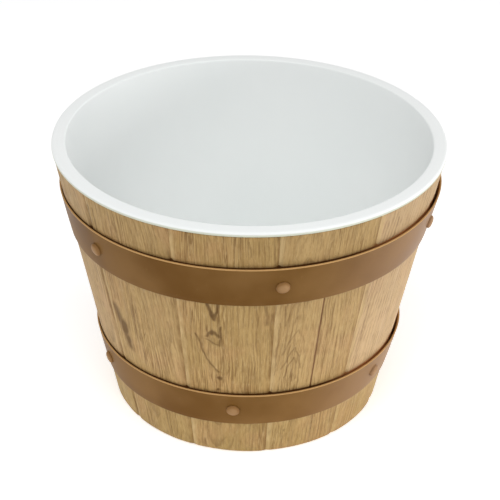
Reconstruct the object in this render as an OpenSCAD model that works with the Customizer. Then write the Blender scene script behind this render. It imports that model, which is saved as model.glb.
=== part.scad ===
// Coopered florist bucket: a half barrel of wooden staves, held by two riveted hoops,
// with loose base boards in a croze groove and a drop-in liner that lifts out.
// The origin is at the centre of the base, +Z is up and stave 1 faces -Y.

/* [Barrel] */
// Height of the staves
stave_height = 217; // [190:1:250]
// Outside diameter at the top of the staves
top_diameter = 298; // [280:1:320]
// Outside diameter at the base of the staves
base_diameter = 217; // [200:1:240]
// Thickness of the staves, measured level
stave_thickness = 8; // [7:0.5:9]
// Width of the V groove along each joint between two staves
joint_groove = 2; // [1:0.2:2.6]

/* [Base boards] */
// Number of boards that the base is cut into
board_count = 4; // [3:1:5]
// Thickness of the base boards
board_thickness = 8; // [6:1:9]
// Height of the underside of the base boards above the ground
board_height = 12; // [8:1:14]
// Depth of the groove inside the staves that holds the base boards
croze_depth = 3; // [2:0.5:4]

/* [Hoops] */
// Thickness of the hoop strip
hoop_thickness = 1.2; // [1:0.1:2]
// Height of the lower edge of the upper hoop
upper_hoop_height = 155; // [140:1:160]
// Width of the upper hoop
upper_hoop_width = 34.5; // [28:0.5:40]
// Height of the lower edge of the lower hoop
lower_hoop_height = 33; // [26:1:40]
// Width of the lower hoop
lower_hoop_width = 32; // [24:1:40]
// Gap between the upper edge of a hoop and the staves
hoop_flare = 1; // [0.4:0.2:2]

/* [Rivets] */
// Diameter of a rivet's head
head_diameter = 10; // [8:0.5:12]
// Height of a rivet's head
head_height = 2.8; // [2:0.2:4]
// Diameter of a rivet's shank
shank_diameter = 4; // [3:0.5:5]

/* [Liner] */
// Thickness of the liner's wall and floor
liner_wall = 2; // [1.6:0.2:2.4]
// Gap between the liner's wall and the staves
liner_gap = 1; // [0.6:0.2:1.4]
// Thickness of the liner's flat rim
rim_thickness = 3.5; // [3:0.5:6]
// How far the rim stands out past the staves
rim_overhang = 0.5; // [0.5:0.5:4]

/* [Hidden] */
stave_count = 12;
stave_angle = 360 / stave_count;
front = -90;                                  // turns azimuth 0 to face -Y
slope = (top_diameter - base_diameter) / 2 / stave_height;
taper = atan(slope);
arc_steps = 6;
over = 1;                                     // how far a cutter runs past a face

foot_chamfer = 1;
joint_play = 0.05;
croze_play = 0.1;
hoop_play = 0.05;
lap_half_angle = 9;
lap_rivet_angle = 5;
rivets_per_hoop = 6;
upper_first_rivet = stave_angle / 2 + 1.5;    // just past a joint between two staves
lower_first_rivet = 2;                        // near the middle of a stave
head_edge = 0.8;
shank_depth = 5;                              // how far a shank goes into the wood
shank_play = 0.1;
rim_top_round = 2.2;
rim_foot_round = 0.6;
rim_inner_round = 1;
rim_rest_gap = 0.05;                          // between the rim's underside and the staves
liner_drop_gap = 2;                           // between the liner's floor and the base boards
liner_corner = 10;

$fn = 48;

function stave_name(i) = str("stave_", i < 10 ? "0" : "", i);
function board_name(i) = str("base_board_", i);

// Radius of the outside and of the inside of the staves at height z.
function wood_outside(z) = base_diameter / 2 + slope * z;
function wood_inside(z) = wood_outside(z) - stave_thickness;

// Points along an arc in the profile plane.
function arc(centre, radius, from, to) = [
    for (i = [0:arc_steps])
        let (a = from + (to - from) * i / arc_steps)
        centre + radius * [cos(a), sin(a)]
];

// Azimuths of a hoop's rivets: evenly spaced, but with a pair where the strip's ends lap.
function even_azimuths(first) = [for (i = [0:rivets_per_hoop - 1]) first + 360 / rivets_per_hoop * i];
function single_azimuths(first) = [for (a = even_azimuths(first)) if (a != first + 180) a];
function lap_azimuths(first) = [first + 180 - lap_rivet_angle, first + 180 + lap_rivet_angle];
function rivet_azimuths(first) = concat(single_azimuths(first), lap_azimuths(first));

// Radius of a hoop's outer face at its upper edge, its middle and its lower edge.
function hoop_foot(height) = wood_outside(height) + hoop_play + hoop_thickness;
function hoop_top(height, width) = wood_outside(height + width) + hoop_flare + hoop_thickness;
function hoop_middle(height, width) = (hoop_foot(height) + hoop_top(height, width)) / 2;
function hoop_tilt(height, width) = atan((hoop_top(height, width) - hoop_foot(height)) / width);

// Puts its children on a hoop's outer face, pointing straight out of it.
module on_hoop(height, width, azimuth, stand_off = 0) {
    rotate([0, 0, front + azimuth])
        translate([hoop_middle(height, width), 0, height + width / 2])
            rotate([0, 90 + hoop_tilt(height, width), 0])
                translate([0, 0, stand_off])
                    children();
}

module rivet_hole() {
    depth = hoop_thickness + hoop_flare / 2 + shank_depth + shank_play;
    translate([0, 0, -depth])
        cylinder(h = depth + hoop_thickness + over, d = shank_diameter + 2 * shank_play);
}

module rivet_holes(height, width, azimuths) {
    for (azimuth = azimuths)
        on_hoop(height, width, azimuth) rivet_hole();
}

// Only the rivets that reach the stave at this azimuth.
function reaches(azimuth, centre) = abs((azimuth - centre + 540) % 360 - 180) < stave_angle / 2 + 2;
function near(azimuths, centre) = [for (a = azimuths) if (reaches(a, centre)) a];

// A square bar on edge beside the joint at one end of a stave's arc, cutting its half of the V groove.
module joint_cutter(end) {
    side = joint_groove / sqrt(2);
    length = stave_height / cos(taper) + 2 * over;
    rotate([0, 0, end * stave_angle / 2])
        translate([base_diameter / 2, end * joint_play, 0])
            rotate([0, taper, 0])
                rotate([0, 0, 45])
                    translate([-side / 2, -side / 2, -over])
                        cube([side, side, length]);
}

module stave_blank() {
    groove_bottom = wood_inside(board_height + board_thickness / 2) + croze_depth;
    groove_top_z = board_height + board_thickness;
    rotate([0, 0, -stave_angle / 2])
        rotate_extrude(angle = stave_angle)
            difference() {
                polygon([
                    [wood_inside(0), 0],
                    [wood_outside(0) - foot_chamfer, 0],
                    [wood_outside(foot_chamfer), foot_chamfer],
                    [wood_outside(stave_height), stave_height],
                    [wood_inside(stave_height), stave_height]
                ]);
                translate([wood_inside(0) - over, board_height - croze_play])
                    square([groove_bottom - wood_inside(0) + over,
                            groove_top_z - board_height + 2 * croze_play]);
            }
}

module stave(number) {
    azimuth = (number - 1) * stave_angle;
    color("burlywood")
        difference() {
            rotate([0, 0, front + azimuth])
                difference() {
                    stave_blank();
                    for (end = [-1, 1]) joint_cutter(end);
                }
            rivet_holes(upper_hoop_height, upper_hoop_width,
                        near(rivet_azimuths(upper_first_rivet), azimuth));
            rivet_holes(lower_hoop_height, lower_hoop_width,
                        near(rivet_azimuths(lower_first_rivet), azimuth));
        }
}

// One strip of the round base, held at its ends by the croze groove.
module base_board(number) {
    radius = wood_inside(board_height + board_thickness / 2) + croze_depth - croze_play;
    width = 2 * radius / board_count;
    color("tan")
        intersection() {
            translate([0, 0, board_height])
                cylinder(h = board_thickness, r = radius, $fn = 96);
            translate([-radius - over, -radius + (number - 1) * width, board_height - over])
                cube([2 * (radius + over), width, board_thickness + 2 * over]);
        }
}

// A flared strip bent into a ring; its outer end laps the inner end at the back.
module hoop(height, width, first_rivet) {
    foot = hoop_foot(height);
    top = hoop_top(height, width);
    strip = [
        [foot - hoop_thickness, height],
        [foot, height],
        [top, height + width],
        [top - hoop_thickness, height + width]
    ];
    color("saddlebrown")
        difference() {
            union() {
                rotate_extrude($fn = 96) polygon(strip);
                rotate([0, 0, front + first_rivet + 180 - lap_half_angle])
                    rotate_extrude(angle = 2 * lap_half_angle)
                        translate([hoop_thickness - hoop_play, 0])
                            polygon(strip);
            }
            rivet_holes(height, width, rivet_azimuths(first_rivet));
        }
}

module rivet(extra_length = 0) {
    head_radius = head_diameter / 2;
    dome = head_height - head_edge;
    dome_radius = (head_radius * head_radius + dome * dome) / (2 * dome);
    dome_angle = asin(head_radius / dome_radius);
    length = hoop_thickness + hoop_flare / 2 + shank_depth + extra_length;
    rotate_extrude()
        polygon(concat(
            [[0, -length], [shank_diameter / 2, -length], [shank_diameter / 2, 0], [head_radius, 0]],
            arc([0, head_height - dome_radius], dome_radius, 90 - dome_angle, 90)
        ));
}

module rivets(height, width, first) {
    color("sienna") {
        for (azimuth = single_azimuths(first))
            on_hoop(height, width, azimuth) rivet();
        for (azimuth = lap_azimuths(first))
            on_hoop(height, width, azimuth, hoop_thickness) rivet(hoop_thickness);
    }
}

// A tapered pail, whose flat rim rests on the top edge of the staves.
module liner() {
    floor_z = board_height + board_thickness + liner_drop_gap;
    outside = function (z) wood_inside(z) - liner_gap;
    corner_x = outside(floor_z) - liner_corner * (1 - sin(taper)) / cos(taper);
    corner_centre = [corner_x, floor_z + liner_corner];
    rim_top = stave_height + rim_thickness;
    rim_foot = stave_height + rim_rest_gap;
    rim_outside = wood_outside(stave_height) + rim_overhang;
    inner_edge = outside(rim_top) - liner_wall;
    color("white")
        rotate_extrude($fn = 120)
            polygon(concat(
                [[0, floor_z]],
                arc(corner_centre, liner_corner, -90, -taper),
                [[outside(rim_foot), rim_foot]],
                arc([rim_outside - rim_foot_round, rim_foot + rim_foot_round], rim_foot_round, -90, 0),
                arc([rim_outside - rim_top_round, rim_top - rim_top_round], rim_top_round, 0, 90),
                arc([inner_edge + rim_inner_round, rim_top - rim_inner_round], rim_inner_round, 90, 180 - taper),
                arc(corner_centre, liner_corner - liner_wall, -taper, -90),
                [[0, floor_z + liner_wall]]
            ));
}

for (i = [1:stave_count])
    stave(i);
for (i = [1:board_count])
    base_board(i);
hoop(upper_hoop_height, upper_hoop_width, upper_first_rivet);  // upper_hoop
hoop(lower_hoop_height, lower_hoop_width, lower_first_rivet);  // lower_hoop
rivets(upper_hoop_height, upper_hoop_width, upper_first_rivet);  // upper_rivets
rivets(lower_hoop_height, lower_hoop_width, lower_first_rivet);  // lower_rivets
liner();
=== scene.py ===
"""Looks for the florist bucket: oak staves, riveted hoops and a white liner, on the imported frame."""

import math
import random

import bpy
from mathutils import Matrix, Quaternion, Vector, noise


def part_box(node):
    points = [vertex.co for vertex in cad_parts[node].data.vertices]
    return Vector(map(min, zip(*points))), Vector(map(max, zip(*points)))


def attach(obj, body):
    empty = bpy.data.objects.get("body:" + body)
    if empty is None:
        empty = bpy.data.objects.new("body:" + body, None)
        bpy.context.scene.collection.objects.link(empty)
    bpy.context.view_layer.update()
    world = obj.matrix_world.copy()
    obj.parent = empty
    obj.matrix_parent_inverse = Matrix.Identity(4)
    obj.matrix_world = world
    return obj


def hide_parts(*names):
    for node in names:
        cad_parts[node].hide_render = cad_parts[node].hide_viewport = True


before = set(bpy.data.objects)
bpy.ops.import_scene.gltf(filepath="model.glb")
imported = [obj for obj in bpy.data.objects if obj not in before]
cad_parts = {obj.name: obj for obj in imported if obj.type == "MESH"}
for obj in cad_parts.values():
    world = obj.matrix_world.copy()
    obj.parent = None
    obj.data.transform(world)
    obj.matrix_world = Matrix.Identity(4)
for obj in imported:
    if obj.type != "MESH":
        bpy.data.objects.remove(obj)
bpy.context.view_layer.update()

MM = 0.001
NOISE_SEED = 7
noise.seed_set(NOISE_SEED)            # without it noise_vector differs from run to run

# ---------------------------------------------------------------- sizes read from the frame

STAVES = sorted(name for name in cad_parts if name.startswith("stave_"))
BOARDS = sorted(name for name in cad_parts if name.startswith("base_board_"))
STAVE_ANGLE = 2 * math.pi / len(STAVES)
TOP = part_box(STAVES[0])[1].z
FRONT = -math.pi / 2                  # azimuth 0 faces -Y


def ring(node, low, high):
    """Smallest and largest distance from the axis of a node's points between two heights."""
    places = [v.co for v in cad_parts[node].data.vertices]
    radii = [math.hypot(co.x, co.y) for co in places if low <= co.z <= high]
    return min(radii), max(radii)


def line(x0, y0, x1, y1):
    """The straight line through two points, as a function."""
    return lambda x: y0 + (y1 - y0) * (x - x0) / (x1 - x0)


CHAMFER = 1 * MM
FINE = 0.01 * MM
wood_outside = line(CHAMFER, ring(STAVES[0], CHAMFER - FINE, CHAMFER + FINE)[1],
                    TOP, ring(STAVES[0], TOP - FINE, TOP + FINE)[1])
wood_inside = line(0, ring(STAVES[0], -FINE, FINE)[0], TOP, ring(STAVES[0], TOP - FINE, TOP + FINE)[0])
CROZE_LOW, CROZE_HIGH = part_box(BOARDS[0])[0].z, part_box(BOARDS[0])[1].z
CROZE_RADIUS = max(ring(name, CROZE_LOW - FINE, CROZE_HIGH + FINE)[1] for name in BOARDS)


# ---------------------------------------------------------------- mesh helpers

SHARP_ANGLE = math.radians(40)


def polar(radius, azimuth, z):
    """The point at this azimuth, which runs from the front towards +X."""
    return Vector((radius * math.cos(FRONT + azimuth), radius * math.sin(FRONT + azimuth), z))


def smooth(low, high, x):
    """0 below low, 1 above high and an S-curve between."""
    t = min(1, max(0, (x - low) / (high - low)))
    return t * t * (3 - 2 * t)


def arc(x, z, radius, start, end, steps):
    """Points along an arc in a profile plane, angles in degrees."""
    angles = [math.radians(start + (end - start) * i / steps) for i in range(steps + 1)]
    return [(x + radius * math.cos(a), z + radius * math.sin(a)) for a in angles]


def add_piece(name, points, faces, body, nodes, material):
    """Makes a smooth-shaded mesh piece that stands for CAD nodes and rides on their body."""
    mesh = bpy.data.meshes.new(name)
    mesh.from_pydata(points, [], faces)
    mesh.shade_smooth()
    mesh.set_sharp_from_angle(angle=SHARP_ANGLE)
    mesh.materials.append(material)
    piece = bpy.data.objects.new(name, mesh)
    bpy.context.scene.collection.objects.link(piece)
    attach(piece, body)
    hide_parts(*nodes)
    return piece


def add_values(piece, name, kind, values):
    """Stores one value or vector for each point, for the material to read."""
    attribute = piece.data.attributes.new(name, kind, "POINT")
    if kind == "FLOAT":
        attribute.data.foreach_set("value", values)
    else:
        attribute.data.foreach_set("vector", [number for vector in values for number in vector])


def tube_faces(rings, count, closed_ends=True):
    """Quads between rings of count points each, wound so that they face outwards."""
    faces = []
    for i in range(rings - 1):
        here, there = i * count, (i + 1) * count
        for j in range(count):
            k = (j + 1) % count
            faces.append((here + j, here + k, there + k, there + j))
    if closed_ends:
        faces.append(tuple(reversed(range(count))))
        faces.append(tuple(range((rings - 1) * count, rings * count)))
    return faces


def lathe(profile, steps):
    """Points and faces of a profile of (radius, z) turned about the axis; radius 0 closes an end."""
    points, faces, rows = [], [], []
    for radius, z in profile:
        if radius < FINE:
            rows.append([len(points)] * steps)
            points.append(Vector((0, 0, z)))
        else:
            rows.append(list(range(len(points), len(points) + steps)))
            points += [polar(radius, 2 * math.pi * i / steps, z) for i in range(steps)]
    for low, high in zip(rows, rows[1:]):
        for i in range(steps):
            k = (i + 1) % steps
            corners = [low[i], low[k], high[k], high[i]]
            faces.append(tuple(dict.fromkeys(corners)))
    return points, faces


# ---------------------------------------------------------------- material helpers

class Graph:
    """A material's node tree, with short calls for the nodes used here."""

    def __init__(self, name):
        self.material = bpy.data.materials.new(name)
        self.material.use_nodes = True
        self.tree = self.material.node_tree
        self.shader = self.tree.nodes["Principled BSDF"]

    def set(self, socket, value):
        if isinstance(value, bpy.types.NodeSocket):
            self.tree.links.new(value, socket)
        else:
            socket.default_value = value

    def node(self, kind, inputs=None, **settings):
        made = self.tree.nodes.new("ShaderNode" + kind)
        for key, value in settings.items():
            setattr(made, key, value)
        for key, value in (inputs or {}).items():
            self.set(made.inputs[key], value)
        return made

    def math(self, operation, a, b=0.0, c=0.0):
        return self.node("Math", {0: a, 1: b, 2: c}, operation=operation).outputs[0]

    def vector(self, operation, a, b=(0, 0, 0)):
        return self.node("VectorMath", {0: a, 1: b}, operation=operation).outputs[0]

    def attribute(self, name, output="Vector"):
        return self.node("Attribute", attribute_name=name).outputs[output]

    def place(self):
        """Where a point is, in metres."""
        return self.node("TexCoord").outputs["Object"]

    def split(self, vector):
        """The three parts of a vector."""
        return self.node("SeparateXYZ", {0: vector}).outputs

    def length(self, vector):
        return self.node("VectorMath", {0: vector}, operation="LENGTH").outputs["Value"]

    def noise(self, place, scale, detail=3.0, roughness=0.5):
        inputs = {"Vector": place, "Scale": scale, "Detail": detail, "Roughness": roughness}
        return self.node("TexNoise", inputs).outputs["Fac"]

    def streaks(self, place, scale, squeeze, detail=3.0, roughness=0.5):
        """Noise drawn out along the third axis: the smaller the squeeze, the longer the streaks."""
        return self.noise(self.vector("MULTIPLY", place, (1, 1, squeeze)), scale, detail, roughness)

    def ramp(self, value, low, high, to_low=0.0, to_high=1.0):
        inputs = {0: value, 1: low, 2: high, 3: to_low, 4: to_high}
        return self.node("MapRange", inputs, interpolation_type="SMOOTHSTEP").outputs[0]

    def height_share(self):
        """0 low on the bucket, 1 at the top of its staves."""
        return self.ramp(self.split(self.place())[2], 0.15 * TOP, TOP)

    def mix(self, share, a, b, blend="MIX"):
        made = self.node("Mix", data_type="RGBA", blend_type=blend)
        self.set(made.inputs["Factor"], share)
        self.set(made.inputs[6], a)
        self.set(made.inputs[7], b)
        return made.outputs[2]

    def bump(self, height, strength, distance):
        inputs = {"Height": height, "Strength": strength, "Distance": distance}
        return self.node("Bump", inputs).outputs[0]

    def finish(self, color, roughness, normal, **constants):
        self.set(self.shader.inputs["Base Color"], color)
        self.set(self.shader.inputs["Roughness"], roughness)
        self.set(self.shader.inputs["Normal"], normal)
        for key, value in constants.items():
            self.shader.inputs[key.replace("_", " ")].default_value = value
        return self.material


def rgb(red, green, blue):
    """A colour given as display values from 0 to 255."""
    def linear(value):
        value /= 255
        return value / 12.92 if value <= 0.04045 else ((value + 0.055) / 1.055) ** 2.4
    return linear(red), linear(green), linear(blue), 1.0


OAK_PALE = rgb(212, 181, 129)
OAK_LIGHT = rgb(193, 160, 103)
OAK_MIDDLE = rgb(177, 143, 87)
OAK_WARM = rgb(190, 148, 98)
OAK_DARK = rgb(118, 84, 38)
OAK_KNOT = rgb(94, 61, 18)
OAK_CRACK = rgb(104, 60, 30)
# The next two colours are painted shadow in the gap behind each hoop's upper edge, and painted warm light
# where light gets into that gap on the +X side.
OAK_GAP_SHADOW = rgb(106, 64, 25)
OAK_GAP_LIGHT = rgb(232, 160, 96)
OAK_ROSY = rgb(226, 194, 160)
# The next colour is painted shade: it darkens the staves towards the top.
OAK_TOP_SHADE = (0.86, 0.86, 0.85, 1)
# The next colour is painted shade, which darkens the foot of each stave.
OAK_FOOT_SHADE = (0.93, 0.955, 0.94, 1)
FOOT_LOW, FOOT_HIGH = 0.02, 0.06      # the foot is darker than the rest of a stave, as painted shade, and never rosy
RING_WIDTH = 3.4                      # millimetres from one growth ring to the next
FIGURE_LINES = 8                      # dark lines across the range of the noise that they follow


def oak_layers(g, grain, tone):
    """The layers of the grain by name, from places in millimetres with the third axis along the stave."""
    drift = g.math("MULTIPLY_ADD", g.streaks(grain, 0.045, 0.35), 5.0, -2.5)
    place = g.vector("ADD", grain, g.node("CombineXYZ", {"X": drift}).outputs[0])
    waves = g.streaks(place, 0.16, 0.030, 3, 0.55)
    figure = g.math("FRACT", g.math("MULTIPLY", waves, FIGURE_LINES))
    busy = g.ramp(g.streaks(grain, 0.055, 0.30), 0.40, 0.66, 0.06, 1.0)
    rings = g.math("MULTIPLY_ADD", drift, 1.6, g.attribute("rings", "Fac"))
    ring_place = g.math("FRACT", g.math("DIVIDE", rings, RING_WIDTH))
    late_wood = g.math("MULTIPLY", g.ramp(ring_place, 0.45, 0.92), g.ramp(ring_place, 1.0, 0.94))
    return {
        "waves": waves,
        "dark_lines": g.math("MULTIPLY", g.ramp(figure, 0.62, 0.90), g.ramp(figure, 1.0, 0.94)),
        "pale_lines": g.ramp(figure, 0.30, 0.02),
        "threads": g.ramp(g.streaks(place, 0.95, 0.014, 2), 0.585, 0.64),
        "hairs": g.streaks(place, 2.8, 0.030, 3, 0.6),
        "flecks": g.streaks(place, 0.75, 0.20, 3, 0.6),
        "busy": g.math("MULTIPLY", busy, g.math("MULTIPLY_ADD", tone, -0.9, 1.0)),
        "bands": g.ramp(g.streaks(place, 0.13, 0.10), 0.28, 0.70, 0.15, 0.85),
        "patches": g.ramp(g.noise(grain, 0.028, 2), 0.45, 0.70, 0, 0.6),
        "late_wood": g.math("MULTIPLY", late_wood, g.ramp(g.noise(grain, 0.07, 2), 0.40, 0.62, 0.1, 1.0)),
    }


def oak_grain_color(g, layers, tone):
    """Clean wood: its ground colour, then the pale and dark lines over it."""
    busy = layers["busy"]
    dark_share = g.math("MULTIPLY", g.math("MULTIPLY", layers["dark_lines"], busy), 0.60)
    pale_share = g.math("MULTIPLY", g.math("MULTIPLY", layers["pale_lines"], busy), 0.30)
    thread_share = g.math("MULTIPLY", layers["threads"], g.math("MULTIPLY_ADD", busy, 0.36, 0.12))
    color = g.mix(layers["bands"], OAK_MIDDLE, OAK_LIGHT)
    color = g.mix(layers["patches"], color, OAK_WARM)
    color = g.mix(tone, color, OAK_ROSY)
    color = g.mix(pale_share, color, OAK_PALE)
    color = g.mix(dark_share, color, OAK_DARK)
    color = g.mix(thread_share, color, OAK_DARK)
    color = g.mix(g.math("MULTIPLY", layers["late_wood"], 0.38), color, OAK_DARK)
    color = g.mix(g.ramp(layers["hairs"], 0.50, 0.72, 0, 0.16), color, OAK_DARK)
    color = g.mix(g.ramp(layers["flecks"], 0.54, 0.66, 0, 0.30), color, OAK_PALE)
    return g.mix(g.ramp(layers["flecks"], 0.46, 0.34, 0, 0.22), color, OAK_DARK)


def joint_color(g, color, grain, joint):
    """Painted light along one side of each joint and painted shade along the other, both in patches."""
    smudge = g.ramp(g.streaks(grain, 0.16, 0.5), 0.35, 0.65, 0.3, 1.0)
    # The shaded side is painted shade and the pale side is painted light, on the two flanks of the joint's
    # valley.
    shaded = g.math("MULTIPLY", g.ramp(joint[0], 5.0, 0.5, 0.0, 0.60), smudge)
    rubbed_and_lit = g.math("MULTIPLY", g.ramp(joint[1], 4.6, 1.4, 0.0, 0.85), smudge)
    color = g.mix(rubbed_and_lit, color, OAK_PALE)
    return g.mix(shaded, color, OAK_DARK)


def oak():
    """Brushed flat-sawn oak, read from each stave's own values, which are in millimetres."""
    g = Graph("oak")
    grain = g.attribute("grain")
    tone = g.attribute("tone", "Fac")
    joint = g.split(g.attribute("joint"))
    layers = oak_layers(g, grain, tone)
    stain = g.math("SUBTRACT", g.attribute("stain", "Fac"), 0.15)
    stain = g.ramp(g.math("MULTIPLY_ADD", layers["hairs"], 0.3, stain), 0.10, 0.80)
    crack_side = g.math("ABSOLUTE", g.math("ADD", layers["waves"], g.attribute("crack", "Fac")))
    crack = g.ramp(crack_side, 0.85, 0.35)
    # Painted shadow along each hoop's upper edge and in the joints just above it.
    gap_shade_and_light = g.math("MULTIPLY", g.ramp(g.attribute("covered", "Fac"), -0.25, 0.35), 0.93)
    # Painted shade at the foot of the staves.
    foot_shade = g.ramp(g.split(g.place())[2], FOOT_HIGH, FOOT_LOW)

    color = oak_grain_color(g, layers, tone)
    color = joint_color(g, color, grain, joint)
    color = g.mix(g.math("MULTIPLY", stain, 0.8), color, OAK_KNOT)
    color = g.mix(g.math("MULTIPLY", crack, 0.75), color, OAK_CRACK)
    # The gap's painted shadow turns to painted warm light towards +X.
    color = g.mix(gap_shade_and_light, color, g.mix(joint[2], OAK_GAP_SHADOW, OAK_GAP_LIGHT))
    # Painted shade: darker towards the top of the staves.
    color = g.mix(g.height_share(), color, OAK_TOP_SHADE, "MULTIPLY")
    color = g.mix(foot_shade, color, OAK_FOOT_SHADE, "MULTIPLY")

    relief = g.math("MULTIPLY", layers["dark_lines"], -0.8)
    raised = (("pale_lines", 0.3), ("threads", -0.5), ("hairs", -0.5), ("late_wood", -0.3))
    for layer, height in raised:
        relief = g.math("MULTIPLY_ADD", layers[layer], height, relief)
    relief = g.math("MULTIPLY_ADD", crack, -1.6, relief)
    relief = g.math("MULTIPLY_ADD", stain, -0.6, relief)
    roughness = g.ramp(layers["waves"], 0.3, 0.7, 0.54, 0.68)
    return g.finish(color, roughness, g.bump(relief, 0.7, 0.35 * MM), Specular_IOR_Level=0.2)


BOARD_PALE = rgb(214, 180, 132)
BOARD_MIDDLE = rgb(196, 158, 108)
BOARD_DARK = rgb(150, 112, 70)


def board_wood():
    """Plain sawn boards with straight grain along X."""
    g = Graph("board_wood")
    place = g.place()
    streaks = g.noise(g.vector("MULTIPLY", place, (30, 900, 900)), 1.0, 5, 0.6)
    blotches = g.noise(place, 40)
    color = g.mix(g.ramp(blotches, 0.35, 0.65), BOARD_PALE, BOARD_MIDDLE)
    color = g.mix(g.ramp(streaks, 0.45, 0.7, 0, 0.7), color, BOARD_DARK)
    roughness = g.ramp(streaks, 0.3, 0.7, 0.6, 0.8)
    return g.finish(color, roughness, g.bump(streaks, 0.4, 0.3 * MM), Specular_IOR_Level=0.3)


# The pale colours are rubbed paint and also painted highlight, on the hoops' upper edges.
HOOP_BROWN, HOOP_WORN_AND_LIT = rgb(110, 74, 26), rgb(190, 150, 98)
# The rivets' paler colour is their own tone and rubs, and painted highlight on their crowns.
RIVET_BROWN, RIVET_WORN_AND_LIT = rgb(140, 102, 60), rgb(178, 142, 102)
# painted sheen: the paler, greyer colour of the satin coating where it turns away at the sides
PAINT_SHEEN = rgb(190, 156, 128)
# painted shade: the coating darker towards the top
PAINT_TOP_SHADE = (0.87, 0.86, 0.83, 1)


def brown_paint(name, main, worn_and_lit):
    """Satin brown coating: slight tone changes, a fine orange peel, painted shade towards the top, painted
    sheen on the sides, and rubbed edges with a painted highlight where the wear value is high.
    """
    g = Graph(name)
    place = g.place()
    tone = g.noise(place, 16)
    peel = g.noise(place, 700, 2)
    rubs = g.ramp(g.noise(place, 240, 5, 0.65), 0.60, 0.78)
    wear_and_highlight = g.math("SUBTRACT", g.attribute("wear_and_highlight", "Fac"), 0.25)
    wear_and_highlight = g.math("MULTIPLY_ADD", g.noise(place, 90), 0.5, wear_and_highlight)
    color = g.mix(g.ramp(tone, 0.3, 0.7, 0, 0.22), main, worn_and_lit)
    color = g.mix(g.math("MULTIPLY", rubs, 0.10), color, worn_and_lit)
    # Painted shade: darker towards the top of the bucket.
    color = g.mix(g.height_share(), color, PAINT_TOP_SHADE, "MULTIPLY")
    # Painted sheen towards the sides.
    color = g.mix(g.attribute("painted_sheen", "Fac"), color, PAINT_SHEEN)
    # Rubbed paint with a painted highlight, where the wear value is high.
    color = g.mix(g.ramp(wear_and_highlight, 0.2, 0.8), color, worn_and_lit)
    roughness = g.math("MULTIPLY_ADD", rubs, 0.08, g.ramp(tone, 0.3, 0.7, 0.36, 0.46))
    return g.finish(color, roughness, g.bump(peel, 0.10, 0.1 * MM), Specular_IOR_Level=0.05)


PLASTIC_MAIN = rgb(246, 248, 247)
PLASTIC_FLOW = rgb(243, 246, 245)
PLASTIC_SCUFF = rgb(218, 220, 216)
PLASTIC_GREYER = rgb(237, 240, 239)
# The next colour is painted shade with a painted warm reflection from the wood, along the rim's outer side.
PLASTIC_RIM_SHADE = rgb(204, 207, 189)
GREYER_HIGH, GREYER_LOW = 0.15, 0.05      # heights between which the wall turns greyer
GREYER_LEFT, GREYER_RIGHT = -0.10, 0.0    # and how far along X it does
RIM_SHADE_HIGH, RIM_SHADE_LOW = TOP + 2.6 * MM, TOP + 1.2 * MM


def white_plastic():
    """Moulded white plastic: satin, fine scuffs, greyer low down towards +X, and painted shade with a warm
    painted reflection in a band under the rim.
    """
    g = Graph("white_plastic")
    place = g.place()
    aside, _, up = g.split(place)
    flow = g.noise(place, 9)
    scuffs = g.ramp(g.streaks(place, 240, 6, 5, 0.7), 0.6, 0.78)
    skin = g.noise(place, 1400, 2)
    rightwards = g.ramp(aside, GREYER_LEFT, GREYER_RIGHT, 0.1, 1.0)
    # Greyer low down and towards +X.
    greyer = g.math("MULTIPLY", g.ramp(up, GREYER_HIGH, GREYER_LOW), rightwards)
    out = g.length(g.vector("MULTIPLY", place, (1, 1, 0)))
    outer_side = g.ramp(out, wood_outside(TOP) - 1 * MM, wood_outside(TOP))
    # Painted shade with a warm painted reflection, on the band under the rim's outer edge.
    rim_shade = g.math("MULTIPLY", outer_side, g.ramp(up, RIM_SHADE_HIGH, RIM_SHADE_LOW))
    color = g.mix(g.ramp(flow, 0.3, 0.7), PLASTIC_MAIN, PLASTIC_FLOW)
    color = g.mix(g.math("MULTIPLY", scuffs, 0.12), color, PLASTIC_SCUFF)
    color = g.mix(greyer, color, PLASTIC_GREYER)
    color = g.mix(rim_shade, color, PLASTIC_RIM_SHADE)
    roughness = g.math("MULTIPLY_ADD", scuffs, 0.12, g.ramp(flow, 0.3, 0.7, 0.36, 0.44))
    return g.finish(color, roughness, g.bump(skin, 0.08, 0.08 * MM), Specular_IOR_Level=0.3)


FLOOR_GLOW = 0.42
GLOW_NEAR, GLOW_FAR = 0.11, 0.35      # full out to the first, GLOW_AWAY of it past the second
GLOW_AWAY = 0.75


def floor_material():
    """A white table, faintly lit from within around the middle."""
    g = Graph("studio_floor")
    place = g.place()
    tone = g.noise(place, 3, 2)
    color = g.mix(tone, rgb(254, 254, 254), rgb(252, 252, 252))
    glow = g.ramp(g.length(place), GLOW_NEAR, GLOW_FAR, 1.0, GLOW_AWAY)
    g.set(g.shader.inputs["Emission Color"], g.mix(glow, (0, 0, 0, 1), (1, 1, 1, 1)))
    return g.finish(color, 0.8, g.bump(tone, 0.02, 0.1 * MM),
                    Specular_IOR_Level=0.1, Emission_Strength=FLOOR_GLOW)


# ---------------------------------------------------------------- where the hoops sit

HOOPS = ("lower_hoop", "upper_hoop")
HOOP_DRIFT = 1.0 * MM                 # how far the upper edges sit off centre
DRIFT_AZIMUTH = math.radians(50)      # towards the front right
HOOP_TILT = 1.8 * MM                  # how much higher the hoops sit on the +X side
COVER_REACH = 3                       # millimetres, as far as covered() counts


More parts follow.
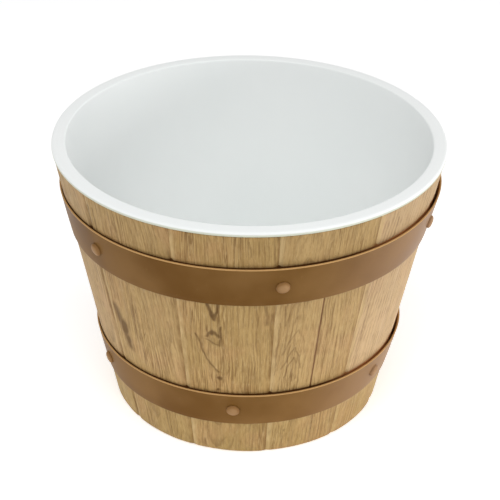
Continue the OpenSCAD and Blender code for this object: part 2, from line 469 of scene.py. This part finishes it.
class Strip:
    """A hoop's flat strip, measured on its CAD node."""

    def __init__(self, node):
        low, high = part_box(node)
        slack = 0.2 * MM
        places = [v.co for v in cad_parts[node].data.vertices]
        front_foot = max(-co.y for co in places if co.z < low.z + slack)
        self.low, self.width = low.z, high.z - low.z
        self.foot_in = ring(node, low.z, low.z + slack)[0]
        self.top_in = ring(node, high.z - slack, high.z)[0]
        self.thickness = front_foot - self.foot_in
        self.lean = math.atan2(self.top_in - self.foot_in, self.width)

    def drift(self, azimuth, share):
        """How far out and up the real hoop sits from a true ring, at this share of its width."""
        lift = HOOP_TILT * math.sin(azimuth)
        slope = (wood_outside(TOP) - wood_outside(0)) / TOP
        return HOOP_DRIFT * share * math.cos(azimuth - DRIFT_AZIMUTH) + slope * lift, lift


STRIPS = {node: Strip(node) for node in HOOPS}


def covered(azimuth, z):
    """Millimetres below a hoop's upper edge, up to COVER_REACH, and as far above it below zero."""
    for strip in STRIPS.values():
        edge = strip.low + strip.width + strip.drift(azimuth, 1)[1]
        if edge - strip.width / 2 < z < edge + strip.width:
            return min(COVER_REACH, max(-COVER_REACH, (edge - z) / MM))
    return -COVER_REACH


# ---------------------------------------------------------------- staves

OUTER_COLUMNS = 96
INNER_COLUMNS = 16
STAVE_ROWS = 200
JOINT_GAP = 0.04 * MM
GROOVE_DEPTH = 0.65 * MM              # of the soft valley along each joint
GROOVE_HALF_WIDTH = 2.0 * MM
EASED = 0.6 * MM                      # how much of a stave's top corner is rounded off
WAVE_DEPTH = 0.2 * MM                 # slow waves of a brushed face
RIDGE_DEPTH = 0.08 * MM               # its narrow ridges
MARK_DEPTH = 0.3 * MM
SPLIT_DEPTH, SPLIT_HALF_WIDTH = 0.5 * MM, 0.9 * MM
NOTCH_HEIGHT = 1.3                    # millimetres of painted shadow in a joint, above a hoop's edge
NOTCH_HALF_WIDTH = 1.3 * MM
FAR = 50                              # millimetres, more than any joint or crack is away
GAP_DARK, GAP_LIT = 0.55, 0.85        # sine of the azimuths between which light gets in behind the hoops
SMUDGE = 1.1 * MM                     # how far a mark's outline strays
PULL_REACH = 3.0                      # how many half widths away a mark still bends the grain
PULL = 0.9 * MM                       # how far aside the grain goes in the middle of the darkest mark


class Mark:
    """A dark mark on a stave's face: a smooth stroke through points, or a knot where there is one point."""

    def __init__(self, points, half_width, dark, half_height=None):
        self.points = [(across * MM, height * MM) for across, height in points]
        self.half_width = half_width * MM
        self.half_height = (half_height or half_width) * MM
        self.dark = dark

    def distance(self, x, z):
        """How many half widths away a place on the face is."""
        if len(self.points) == 1:
            px, pz = self.points[0]
            return math.hypot((x - px) / self.half_width, (z - pz) / self.half_height)
        nearest = math.inf
        for (ax, az), (bx, bz) in zip(self.points, self.points[1:]):
            along_x, along_z = bx - ax, bz - az
            share = ((x - ax) * along_x + (z - az) * along_z) / (along_x ** 2 + along_z ** 2)
            share = min(1, max(0, share))
            nearest = min(nearest, math.hypot(x - ax - share * along_x, z - az - share * along_z))
        return nearest / self.half_width

    def shade(self, x, z, reach=1.0):
        return self.dark * math.exp(-(self.distance(x, z) / reach) ** 2)


# The marks on the staves at the front, by name, as (across, height) in millimetres.
MARKS = {
    "stave_12": [
        Mark([(-28, 119), (-25, 110), (-21, 98), (-18.5, 84)], 5.0, 0.66),
        Mark([(-27, 115)], 3.0, 0.6, 6),
        Mark([(-21, 101)], 4.4, 1.1, 9),
        Mark([(-19, 90)], 3.2, 1.0, 6),
        Mark([(-6, 136), (-4, 124)], 0.7, 0.45),
        Mark([(4, 112), (1, 121), (-1, 110)], 0.6, 0.40),
        Mark([(5, 100), (2, 108), (-1, 98), (1, 86)], 0.6, 0.35),
        Mark([(25, 128), (26, 108)], 1.3, 0.45),
        Mark([(-37, 208), (-36, 188)], 1.6, 0.6),
        Mark([(-31, 208), (-30, 190)], 1.2, 0.55),
        Mark([(-34, 150), (-30, 60)], 2.4, 0.22),
        Mark([(-12, 60), (-11, 48)], 0.7, 0.4),
    ],
    "stave_01": [
        Mark([(-13, 158), (-10.5, 147), (-8, 138)], 1.5, 0.8),
        Mark([(-4.5, 158), (-5.5, 147), (-8, 138)], 1.5, 0.8),
        Mark([(-8, 142)], 1.6, 0.9, 4),
        Mark([(-14, 122), (-12, 126), (-9.5, 127.5), (-7, 126), (-4, 122)], 1.8, 0.72),
        Mark([(-9.5, 126)], 3.4, 0.85, 2.8),
        Mark([(-8, 120)], 4.5, 0.28, 4),
        Mark([(-15, 119), (-10, 116.5), (-4.5, 113.5), (-3.5, 122), (-4, 132)], 1.2, 0.58),
        Mark([(-9, 109)], 4, 0.22, 7),
        Mark([(-22, 123), (-18, 108), (-12, 94), (-6, 87)], 1.1, 0.66),
        Mark([(-26, 120), (-21, 102), (-17, 84)], 0.7, 0.35),
        Mark([(-5.5, 80)], 2.4, 0.95),
        Mark([(-7, 68)], 2.0, 0.85),
        Mark([(-3, 73)], 1.4, 0.4, 3),
        Mark([(22.5, 156), (22.3, 110)], 0.8, 0.45),
        Mark([(30, 153), (30, 136)], 1.8, 0.5),
        Mark([(33, 146), (32, 128), (34, 116)], 1.0, 0.4),
        Mark([(10, 152), (9, 124), (10, 96)], 0.6, 0.35),
        Mark([(-4, 9)], 2.2, 0.35, 4),
        Mark([(18, 212), (19, 199)], 0.8, 0.5),
        Mark([(-24, 213), (-23, 196)], 0.8, 0.45),
    ],
    "stave_02": [
        Mark([(-28.5, 152), (-26.5, 134)], 1.4, 0.45),
        Mark([(-31, 136), (-30, 84)], 0.7, 0.5),
        Mark([(-25, 90), (-21, 103), (-17, 110), (-14, 103), (-11, 88)], 1.0, 0.50),
        Mark([(-22, 80), (-20, 93), (-17, 100), (-15, 93), (-13, 78)], 0.9, 0.50),
        Mark([(-26, 104), (-21, 119), (-16, 128), (-12, 118), (-9, 104)], 0.9, 0.42),
        Mark([(-19, 76), (-17, 88), (-15.5, 74)], 0.9, 0.42),
        Mark([(-29, 210), (-27, 200), (-24, 193)], 0.7, 0.35),
        Mark([(-16, 22)], 1.4, 0.55, 2),
        Mark([(-2, 206), (-1, 190)], 0.7, 0.5),
    ],
    "stave_03": [
        Mark([(-27, 150), (-25, 96)], 1.0, 0.40),
        Mark([(-12, 140), (-11, 120)], 0.8, 0.35),
        Mark([(-20, 208), (-19, 192)], 0.9, 0.5),
    ],
}
# How rosy a stave is: a wood tone that differs from stave to stave, set higher on stave_03 and stave_04
# towards +X as painted light for that side.
TONES = {
    "stave_11": 0.25,
    "stave_12": 0.08,
    "stave_01": 0.0,
    "stave_02": 0.08,
    "stave_03": 0.45,
    "stave_04": 0.55,
}
# The middle of the oval growth rings on each stave, in millimetres across and up.
RING_MIDDLES = {
    "stave_11": (20, 150),
    "stave_12": (-2, 98),
    "stave_01": (-9, 190),
    "stave_02": (-16, 60),
    "stave_03": (34, 40),
}
RING_SQUEEZE = 0.13                   # of the rings' height, which makes them long ovals
CRACK_STAVE, CRACK_LOW, CRACK_HIGH = "stave_02", 62 * MM, 162 * MM


def random_marks(rng):
    """Small knots and streaks for a stave that has none of its own."""
    marks = []
    for _ in range(rng.randint(3, 6)):
        across, height = rng.uniform(-26, 26), rng.uniform(15, 205)
        if rng.random() < 0.4:
            width, dark, tall = rng.uniform(1, 2), rng.uniform(0.4, 0.9), rng.uniform(1.5, 4)
            marks.append(Mark([(across, height)], width, dark, tall))
        else:
            lean, length = rng.uniform(-3, 3), rng.uniform(12, 40)
            width, dark = rng.uniform(0.6, 1.0), rng.uniform(0.3, 0.5)
            marks.append(Mark([(across, height), (across + lean, height + length)], width, dark))
    return marks


class Stave:
    """One stave's own numbers: where its grain was cut from, how it sits, its marks and its tone."""

    def __init__(self, name):
        number = STAVES.index(name)
        rng = random.Random(100 + number)
        self.centre = number * STAVE_ANGLE
        self.seed = Vector((37.0, 11.0, 5.0)) * number
        self.shift = Vector((rng.uniform(-500, 500), rng.uniform(-500, 500), rng.uniform(-900, 900)))
        self.tilt = rng.uniform(-0.15, 0.15) * MM
        self.proud = rng.uniform(-0.35, -0.1) * MM
        self.marks = MARKS.get(name) or random_marks(rng)
        self.ring_middle = RING_MIDDLES.get(name) or (rng.uniform(-40, 40), rng.uniform(0, 220))
        self.tone = TONES.get(name, rng.uniform(0, 0.3))
        self.has_crack = name == CRACK_STAVE

    def cracked(self, z):
        return self.has_crack and CRACK_LOW < z < CRACK_HIGH

    def stain(self, across, z):
        """The darkest mark's shade at a place whose outline strays a little."""
        stray = noise.noise_vector(self.seed + Vector((across * 160, 5, z * 110))) * SMUDGE
        stray += noise.noise_vector(self.seed + Vector((across * 500, 9, z * 300))) * SMUDGE / 3
        return max(mark.shade(across + stray.x, z + stray.y) for mark in self.marks)

    def pull(self, across, z):
        """How far the grain bends aside near a mark."""
        return PULL * max(mark.shade(across, z, PULL_REACH) for mark in self.marks)

    def groove(self, side, z):
        """Depth of the soft valley along one joint, in the middle of the joint."""
        return GROOVE_DEPTH * (1 + 0.5 * noise.noise(self.seed + Vector((side * 9, 7, z * 30))))

    def relief(self, u, across, edge, z, stain):
        """How far the outer face stands out from a true cone, at a share u of the half width."""
        wave = noise.noise(self.seed + Vector((across * 40, 0, z * 14)))
        ridge = noise.noise(self.seed + Vector((across * 300, 3, z * 14)))
        valley = self.groove(1 if u > 0 else -1, z) * math.exp(-((edge / GROOVE_HALF_WIDTH) ** 2))
        split = SPLIT_DEPTH * math.exp(-((across / SPLIT_HALF_WIDTH) ** 2)) if self.cracked(z) else 0
        raised = WAVE_DEPTH * wave + RIDGE_DEPTH * ridge + self.proud + self.tilt * u
        return raised - valley - split - MARK_DEPTH * stain

    def ring_distance(self, across, z):
        """Distance in millimetres from the middle of the growth rings, squeezed into ovals."""
        middle_across, middle_up = self.ring_middle
        return math.hypot(across / MM - middle_across, (z / MM - middle_up) * RING_SQUEEZE)


def stave_heights():
    """Heights of a stave's rows, with the eased ends and the croze groove's edges among them."""
    even = [TOP * i / (STAVE_ROWS - 1) for i in range(STAVE_ROWS)]
    edges = [0, CHAMFER, CROZE_LOW, CROZE_LOW + FINE, CROZE_HIGH - FINE, CROZE_HIGH, TOP - EASED, TOP]
    return sorted([z for z in even if all(abs(z - edge) > 0.3 * MM for edge in edges)] + edges)


def stave_faces(rows, columns):
    """The stave's long faces and its two ends."""
    faces = tube_faces(rows, columns, closed_ends=False)
    faces.append(tuple(reversed(range(columns))))
    faces.append(tuple(range((rows - 1) * columns, rows * columns)))
    return faces


def make_stave(name, material):
    """One stave with a brushed face, soft valleys along its joints, and the croze groove inside."""
    stave = Stave(name)
    shares = [("outer", -1 + 2 * i / OUTER_COLUMNS) for i in range(OUTER_COLUMNS + 1)]
    shares += [("inner", 1 - 2 * i / INNER_COLUMNS) for i in range(INNER_COLUMNS + 1)]
    heights = stave_heights()
    points, grains, joints, rings, stains, cracks, covers, tones = [], [], [], [], [], [], [], []
    for z in heights:
        easing = max(0, z - TOP + EASED)
        outside = wood_outside(z) - max(0, CHAMFER - z) - easing
        in_groove = CROZE_LOW + FINE / 2 < z < CROZE_HIGH - FINE / 2
        inside = CROZE_RADIUS if in_groove else wood_inside(z) + easing
        half = STAVE_ANGLE / 2 - JOINT_GAP / 2 / outside
        tone = stave.tone * smooth(FOOT_LOW, FOOT_HIGH, z)
        for face, u in shares:
            azimuth = stave.centre + u * half
            across = u * half * outside
            edge = (1 - abs(u)) * half * outside
            if face == "outer":
                stain = stave.stain(across, z)
                radius = outside + stave.relief(u, across, edge, z, stain)
                bent = across + stave.pull(across, z)
                near_joint = edge / MM
                # painted shadow in the joint's valley just above a hoop
                notch = NOTCH_HEIGHT * math.exp(-((edge / NOTCH_HALF_WIDTH) ** 2))
                cover = covered(azimuth, z) + notch
                crack = across / MM - 0.5 if stave.cracked(z) else FAR
            else:
                stain, radius, bent = 0, inside, across
                near_joint, cover, crack = FAR, -COVER_REACH, FAR
            open_gap = smooth(GAP_DARK, GAP_LIT, math.sin(azimuth))
            points.append(polar(radius, azimuth, z))
            grains.append(Vector((bent, outside - radius, z)) / MM + stave.shift)
            joints.append((near_joint if u > 0 else FAR, near_joint if u < 0 else FAR, open_gap))
            rings.append(stave.ring_distance(across, z))
            stains.append(stain)
            cracks.append(crack)
            covers.append(cover)
            tones.append(tone)

    faces = stave_faces(len(heights), len(shares))
    piece = add_piece(name + "_oak", points, faces, "barrel", [name], material)
    add_values(piece, "grain", "FLOAT_VECTOR", grains)
    add_values(piece, "joint", "FLOAT_VECTOR", joints)
    add_values(piece, "rings", "FLOAT", rings)
    add_values(piece, "stain", "FLOAT", stains)
    add_values(piece, "crack", "FLOAT", cracks)
    add_values(piece, "covered", "FLOAT", covers)
    add_values(piece, "tone", "FLOAT", tones)
    return piece


# ---------------------------------------------------------------- hoops and rivets

HOOP_STEPS = 300
HOOP_CORNER = 0.25 * MM
HOOP_BOW = 0.1 * MM                   # how far the strip bulges between its edges
BOW_STEPS = 8
HOOP_SWELL = 0.12 * MM                # how far it strays in and out round the barrel
LEDGE = 1.1 * MM                      # the rubbed band along a hoop's upper edge, paler as rubbed paint and as a painted highlight
LEDGE_EDGE = 0.6 * LEDGE              # where the band is rubbed through and most highlighted
LAP = math.radians(9)                 # half the lap, as in the CAD nodes
LAP_RISE = 3.2 * LAP, 2.05 * LAP      # before the strip's end, where it climbs onto its other end
LAP_PLAY = 0.08 * MM
LAP_AZIMUTH = {"upper_hoop": math.radians(196.5), "lower_hoop": math.radians(182)}


def sheen_share(azimuth):
    """How much painted sheen the brown coating gets: most on the side that faces +X, a little where it
    faces -X.
    """
    side = math.sin(azimuth)
    return 0.30 * smooth(0.35, 1.0, side) + 0.12 * smooth(0.80, 1.0, abs(side))


def strip_section(thick, width):
    """The strip's outline as (outwards, upwards), from its inner lower corner."""
    corner = HOOP_CORNER
    section = arc(corner, corner, corner, 180, 270, 4)
    section += arc(thick - corner, corner, corner, 270, 360, 4)
    for i in range(1, BOW_STEPS):
        bow = HOOP_BOW * math.sin(math.pi * i / BOW_STEPS)
        section.append((thick + bow, corner + (width - 2 * corner) * i / BOW_STEPS))
    section += [(thick, width - LEDGE), (thick, width - LEDGE_EDGE)]
    section += arc(thick - corner, width - corner, corner, 0, 90, 4)
    section += arc(corner, width - corner, corner, 90, 180, 4)
    return section


def make_hoop(node, material):
    """A strip wrapped once round the staves, its outer end lapping the inner end at the back."""
    strip = STRIPS[node]
    section = strip_section(strip.thickness, strip.width)
    start, turn = LAP_AZIMUTH[node] - LAP, 2 * math.pi + 2 * LAP
    stations = [turn * i / HOOP_STEPS for i in range(HOOP_STEPS)]
    stations += [turn - 1.5 * LEDGE / strip.top_in, turn]

    points, wear_and_highlight, painted_sheen = [], [], []
    for travelled in sorted(stations):
        azimuth = start + travelled
        over_lap = smooth(turn - LAP_RISE[0], turn - LAP_RISE[1], travelled)
        lift = over_lap * (strip.thickness + LAP_PLAY)
        stray = noise.noise(Vector((math.cos(azimuth) * 2.2, math.sin(azimuth) * 2.2, strip.low * 40)))
        for out, up in section:
            share = up / strip.width
            aside, raised = strip.drift(azimuth, share)
            radius = strip.foot_in + (strip.top_in - strip.foot_in) * share
            radius += out + lift + HOOP_SWELL * stray + aside
            # The upper edge's rubbed band, which is also a painted highlight.
            rubbed_and_lit = smooth(strip.width - LEDGE, strip.width - LEDGE_EDGE, up)
            points.append(polar(radius, azimuth, strip.low + up + raised))
            # The strip's end gets the full rubbed paint and painted highlight.
            wear_and_highlight.append(1 if travelled == turn else rubbed_and_lit)
            # painted sheen on the sides
            painted_sheen.append(sheen_share(azimuth))
    faces = [tuple(reversed(face)) for face in tube_faces(len(stations), len(section))]
    piece = add_piece(node + "_strip", points, faces, "barrel", [node], material)
    add_values(piece, "wear_and_highlight", "FLOAT", wear_and_highlight)
    add_values(piece, "painted_sheen", "FLOAT", painted_sheen)
    return piece


def rivet_islands(node):
    """Splits a CAD rivet node into its separate rivets, as lists of points."""
    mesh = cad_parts[node].data
    owner = list(range(len(mesh.vertices)))

    def root(i):
        while owner[i] != i:
            owner[i] = owner[owner[i]]
            i = owner[i]
        return i

    same_place = {}
    for v in mesh.vertices:
        key = tuple(round(c / FINE) for c in v.co)
        owner[v.index] = same_place.setdefault(key, v.index)
    for edge in mesh.edges:
        owner[root(edge.vertices[0])] = root(edge.vertices[1])
    groups = {}
    for v in mesh.vertices:
        groups.setdefault(root(v.index), []).append(v.co.copy())
    return list(groups.values())


HEAD_STEPS = 40
DOME_STEPS = 9
SHANK_SHARE = 0.4                     # of the head's radius
HEAD_SHARE = 0.56                     # the head's height, of its radius
RIM_SHARE = 0.3                       # the rolled rim's height, of the head's
DOME_START = 12                       # degrees up the dome, where it leaves the rolled rim
DOME_SIDES, DOME_CROWN = 0.8, 1.1     # powers that fill the dome's sides and point its crown
DOME_HIGHLIGHT = 2 * MM                    # how far down from the crown the painted highlight reaches
DENTS = 0.04                          # how uneven a head is, of its radius


def rivet_profile(radius, length):
    """A button head on a shank as (radius, height below the crown), from the shank's end to the crown."""
    height = HEAD_SHARE * radius
    rim = RIM_SHARE * height / 2
    profile = [(0, -length), (SHANK_SHARE * radius, -length), (SHANK_SHARE * radius, -height)]
    profile += arc(radius - rim, rim - height, rim, -90, 20, 5)
    for i in range(DOME_STEPS + 1):
        a = math.radians(DOME_START + (90 - DOME_START) * i / DOME_STEPS)
        below = (math.sin(a) ** DOME_CROWN - 1) * (height - 2 * rim)
        profile.append((radius * math.cos(a) ** DOME_SIDES, below))
    return profile


def make_rivets(node, hoop, material):
    """Button heads with a rolled rim and a low, slightly uneven dome, each on its shank."""
    strip = STRIPS[hoop]
    points, faces, wear_and_highlight, painted_sheen = [], [], [], []
    islands = sorted(rivet_islands(node), key=lambda island: (island[0].x, island[0].y))
    for number, island in enumerate(islands):
        middle = sum(island, Vector()) / len(island)
        azimuth = math.atan2(middle.y, middle.x) - FRONT
        outwards = polar(math.cos(strip.lean), azimuth, -math.sin(strip.lean))
        reach = [co.dot(outwards) for co in island]
        crown = island[reach.index(max(reach))]
        across = [(co - crown) - outwards * (co - crown).dot(outwards) for co in island]
        profile = rivet_profile(max(side.length for side in across), max(reach) - min(reach))
        turned, quads = lathe(profile, HEAD_STEPS)
        first = len(points)
        faces += [tuple(first + i for i in quad) for quad in quads]
        turn = Vector((0, 0, 1)).rotation_difference(outwards)
        aside, raised = strip.drift(azimuth, 0.5)
        crown = crown + polar(aside, azimuth, raised)
        for point in turned:
            uneven = 1 + DENTS * noise.noise(point * 300 + Vector((number * 7, 0, 0)))
            points.append(crown + turn @ Vector((point.x * uneven, point.y * uneven, point.z)))
            # Painted highlight on the crown, lighter towards the top as if lit from above.
            wear_and_highlight.append(0.5 * smooth(-DOME_HIGHLIGHT, 0, point.z))
            # painted sheen on the sides
            painted_sheen.append(sheen_share(azimuth))
    piece = add_piece(node + "_heads", points, faces, "barrel", [node], material)
    add_values(piece, "wear_and_highlight", "FLOAT", wear_and_highlight)
    add_values(piece, "painted_sheen", "FLOAT", painted_sheen)
    return piece


# ---------------------------------------------------------------- liner

LINER_STEPS = 288
WALL_STEPS = 12
CORNER_STEPS = 10
RIM_OUTER_ROUND = 2.0 * MM
RIM_FOOT_ROUND = 0.7 * MM
RIM_INNER_ROUND = 1.4 * MM
WALL_TOP = 4 * MM                     # below the rim's underside, where the inside wall's rows start


def make_liner(material):
    """The moulded liner, turned from the CAD node's profile with finer rounded corners."""
    low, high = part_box("liner")
    points = [v.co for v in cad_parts["liner"].data.vertices]
    rim_foot = min(p.z for p in points if p.z > TOP - FINE)
    rim_outside = -low.y
    lean = math.atan2(wood_inside(TOP) - wood_inside(0), TOP)
    lean_angle = math.degrees(lean)
    gap = wood_inside(rim_foot) - ring("liner", rim_foot - FINE, rim_foot + FINE)[0]
    corner_x = ring("liner", low.z - FINE, low.z + FINE)[1]
    wall = max(p.z for p in points if math.hypot(p.x, p.y) < corner_x + FINE) - low.z

    def outside(z):
        return wood_inside(z) - gap

    corner = (outside(low.z) - corner_x) * math.cos(lean) / (1 - math.sin(lean))
    corner_z = low.z + corner
    wall_foot = corner_z + corner
    step = (rim_foot - wall_foot) / WALL_STEPS
    inner_edge = outside(high.z) - wall
    outer_wall = [wall_foot + step * i for i in range(WALL_STEPS)]
    inner_wall = [rim_foot - WALL_TOP - step * i for i in range(WALL_STEPS)]

    profile = [(0, low.z)]
    profile += arc(corner_x, corner_z, corner, -90, -lean_angle, CORNER_STEPS)
    profile += [(outside(z), z) for z in outer_wall]
    profile += [(outside(rim_foot), rim_foot)]
    profile += arc(rim_outside - RIM_FOOT_ROUND, rim_foot + RIM_FOOT_ROUND, RIM_FOOT_ROUND, -90, 0, 4)
    profile += arc(rim_outside - RIM_OUTER_ROUND, high.z - RIM_OUTER_ROUND, RIM_OUTER_ROUND, 0, 90, 10)
    profile += arc(inner_edge + RIM_INNER_ROUND, high.z - RIM_INNER_ROUND, RIM_INNER_ROUND,
                   90, 180 - lean_angle, 8)
    profile += [(outside(z) - wall, z) for z in inner_wall]
    profile += arc(corner_x, corner_z, corner - wall, -lean_angle, -90, CORNER_STEPS)
    profile += [(0, low.z + wall)]
    turned, faces = lathe(profile, LINER_STEPS)
    return add_piece("liner_shell", turned, faces, "liner", ["liner"], material)


# ---------------------------------------------------------------- stage, camera and light

FLOOR_HALF = 6.0


def make_floor():
    mesh = bpy.data.meshes.new("studio_floor")
    corners = [(-1, -1), (1, -1), (1, 1), (-1, 1)]
    mesh.from_pydata([(x * FLOOR_HALF, y * FLOOR_HALF, 0) for x, y in corners], [], [(0, 1, 2, 3)])
    mesh.materials.append(floor_material())
    floor = bpy.data.objects.new("studio_floor", mesh)
    bpy.context.scene.collection.objects.link(floor)


CAMERA_AZIMUTH = math.radians(6.47)
CAMERA_PITCH = math.radians(31.25)
CAMERA_ROLL = math.radians(0.91)
CAMERA_DISTANCE = 1.1087
CAMERA_AIM_HEIGHT = 0.1169
CAMERA_AIM_SIDE = 0.0016
CAMERA_LENS = 100.2                   # millimetres on a 36 mm sensor


def make_camera():
    """A long lens above and in front, a little to the right of the front stave's middle."""
    away = Vector((math.sin(CAMERA_AZIMUTH), -math.cos(CAMERA_AZIMUTH), 0))
    rightwards = Vector((math.cos(CAMERA_AZIMUTH), math.sin(CAMERA_AZIMUTH), 0))
    back = away * math.cos(CAMERA_PITCH) + Vector((0, 0, math.sin(CAMERA_PITCH)))
    aim = rightwards * CAMERA_AIM_SIDE + Vector((0, 0, CAMERA_AIM_HEIGHT))
    data = bpy.data.cameras.new("camera")
    data.lens = CAMERA_LENS
    data.sensor_width = 36
    camera = bpy.data.objects.new("camera", data)
    camera.location = aim + back * CAMERA_DISTANCE
    camera.rotation_mode = "QUATERNION"
    camera.rotation_quaternion = (-back).to_track_quat("-Z", "Y") @ Quaternion((0, 0, 1), CAMERA_ROLL)
    bpy.context.scene.collection.objects.link(camera)
    bpy.context.scene.camera = camera


LIGHT_AIM = Vector((0, 0, 0.12))      # the bucket's middle


def add_softbox(name, place, size, power):
    """A square area light that faces the bucket's middle."""
    data = bpy.data.lights.new(name, "AREA")
    data.shape = "SQUARE"
    data.size = size
    data.energy = power
    light = bpy.data.objects.new(name, data)
    light.location = place
    towards = LIGHT_AIM - Vector(place)
    light.rotation_mode = "QUATERNION"
    light.rotation_quaternion = towards.to_track_quat("-Z", "Y")
    bpy.context.scene.collection.objects.link(light)


SKY_LEVEL = 0.50
DARK_SIDE = (0.2, -0.96, 0.17)        # the unlit room low behind the camera
DARK_LEVEL = 0.30
DARK_FROM, DARK_FULL = 0.40, 0.95     # cosine of the angle from there at which the dark starts and is full


def make_surround():
    """A soft white surround with an unlit part behind the camera."""
    world = bpy.data.worlds.new("studio")
    world.use_nodes = True
    tree = world.node_tree
    place = tree.nodes.new("ShaderNodeTexCoord")
    towards = tree.nodes.new("ShaderNodeVectorMath")
    towards.operation = "DOT_PRODUCT"
    towards.inputs[1].default_value = DARK_SIDE
    level = tree.nodes.new("ShaderNodeMapRange")
    level.interpolation_type = "SMOOTHSTEP"
    level.inputs["From Min"].default_value = DARK_FROM
    level.inputs["From Max"].default_value = DARK_FULL
    level.inputs["To Min"].default_value = SKY_LEVEL
    level.inputs["To Max"].default_value = DARK_LEVEL
    background = tree.nodes["Background"]
    background.inputs["Color"].default_value = (1, 1, 1, 1)
    tree.links.new(place.outputs["Generated"], towards.inputs[0])
    tree.links.new(towards.outputs["Value"], level.inputs["Value"])
    tree.links.new(level.outputs["Result"], background.inputs["Strength"])
    bpy.context.scene.world = world
    bpy.context.scene.view_settings.view_transform = "Standard"


# ---------------------------------------------------------------- build

def dress_board(board, material):
    """Keeps a CAD board, with eased edges and the sawn wood on it."""
    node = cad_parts[board]
    node.data.materials.clear()
    node.data.materials.append(material)
    eased = node.modifiers.new("eased_edges", "BEVEL")
    eased.width = 0.6 * MM
    eased.segments = 2
    eased.limit_method = "ANGLE"


oak_material = oak()
for stave in STAVES:
    make_stave(stave, oak_material)

board_material = board_wood()
for board in BOARDS:
    dress_board(board, board_material)

hoop_paint = brown_paint("hoop_paint", HOOP_BROWN, HOOP_WORN_AND_LIT)
rivet_paint = brown_paint("rivet_paint", RIVET_BROWN, RIVET_WORN_AND_LIT)
make_hoop("upper_hoop", hoop_paint)
make_hoop("lower_hoop", hoop_paint)
make_rivets("upper_rivets", "upper_hoop", rivet_paint)
make_rivets("lower_rivets", "lower_hoop", rivet_paint)
make_liner(white_plastic())

make_floor()
make_camera()
make_surround()
add_softbox("overhead", (0, -0.9, 1.8), 1.6, 21)
add_softbox("key_right", (2.0, 0.15, 0.28), 0.7, 15)
